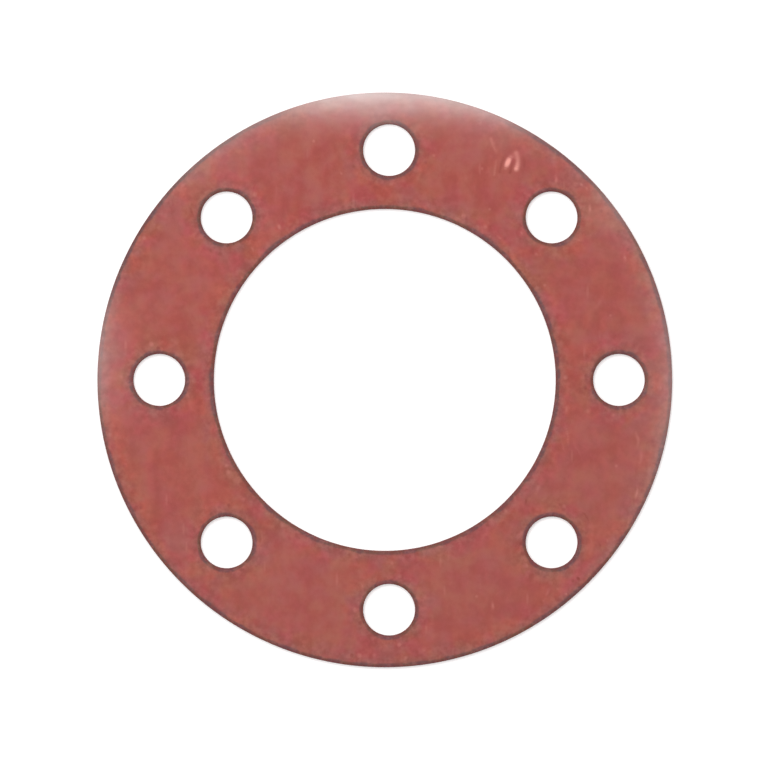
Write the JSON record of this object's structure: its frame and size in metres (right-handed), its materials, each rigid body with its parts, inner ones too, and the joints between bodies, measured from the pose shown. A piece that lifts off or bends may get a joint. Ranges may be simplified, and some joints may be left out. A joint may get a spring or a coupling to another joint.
{
  "type": "rubber flange gasket",
  "caption": "Flat full-face ring gasket die-cut from red rubber sheet, with a large bore and a circle of bolt holes.",
  "frame": {"origin": "centre of the bore, level with the back face that the gasket lies on", "axes": "+Z along the bore axis, out of the upper face; +X the way that the circle of bolt holes stands off the centre of the bore"},
  "size_m": [0.2, 0.2, 0.003],
  "materials": {
    "red_rubber": "matte, fine calendered grain"
  },
  "bodies": {
    "root": {"flange_gasket": "red_rubber"}
  },
  "joints": []
}
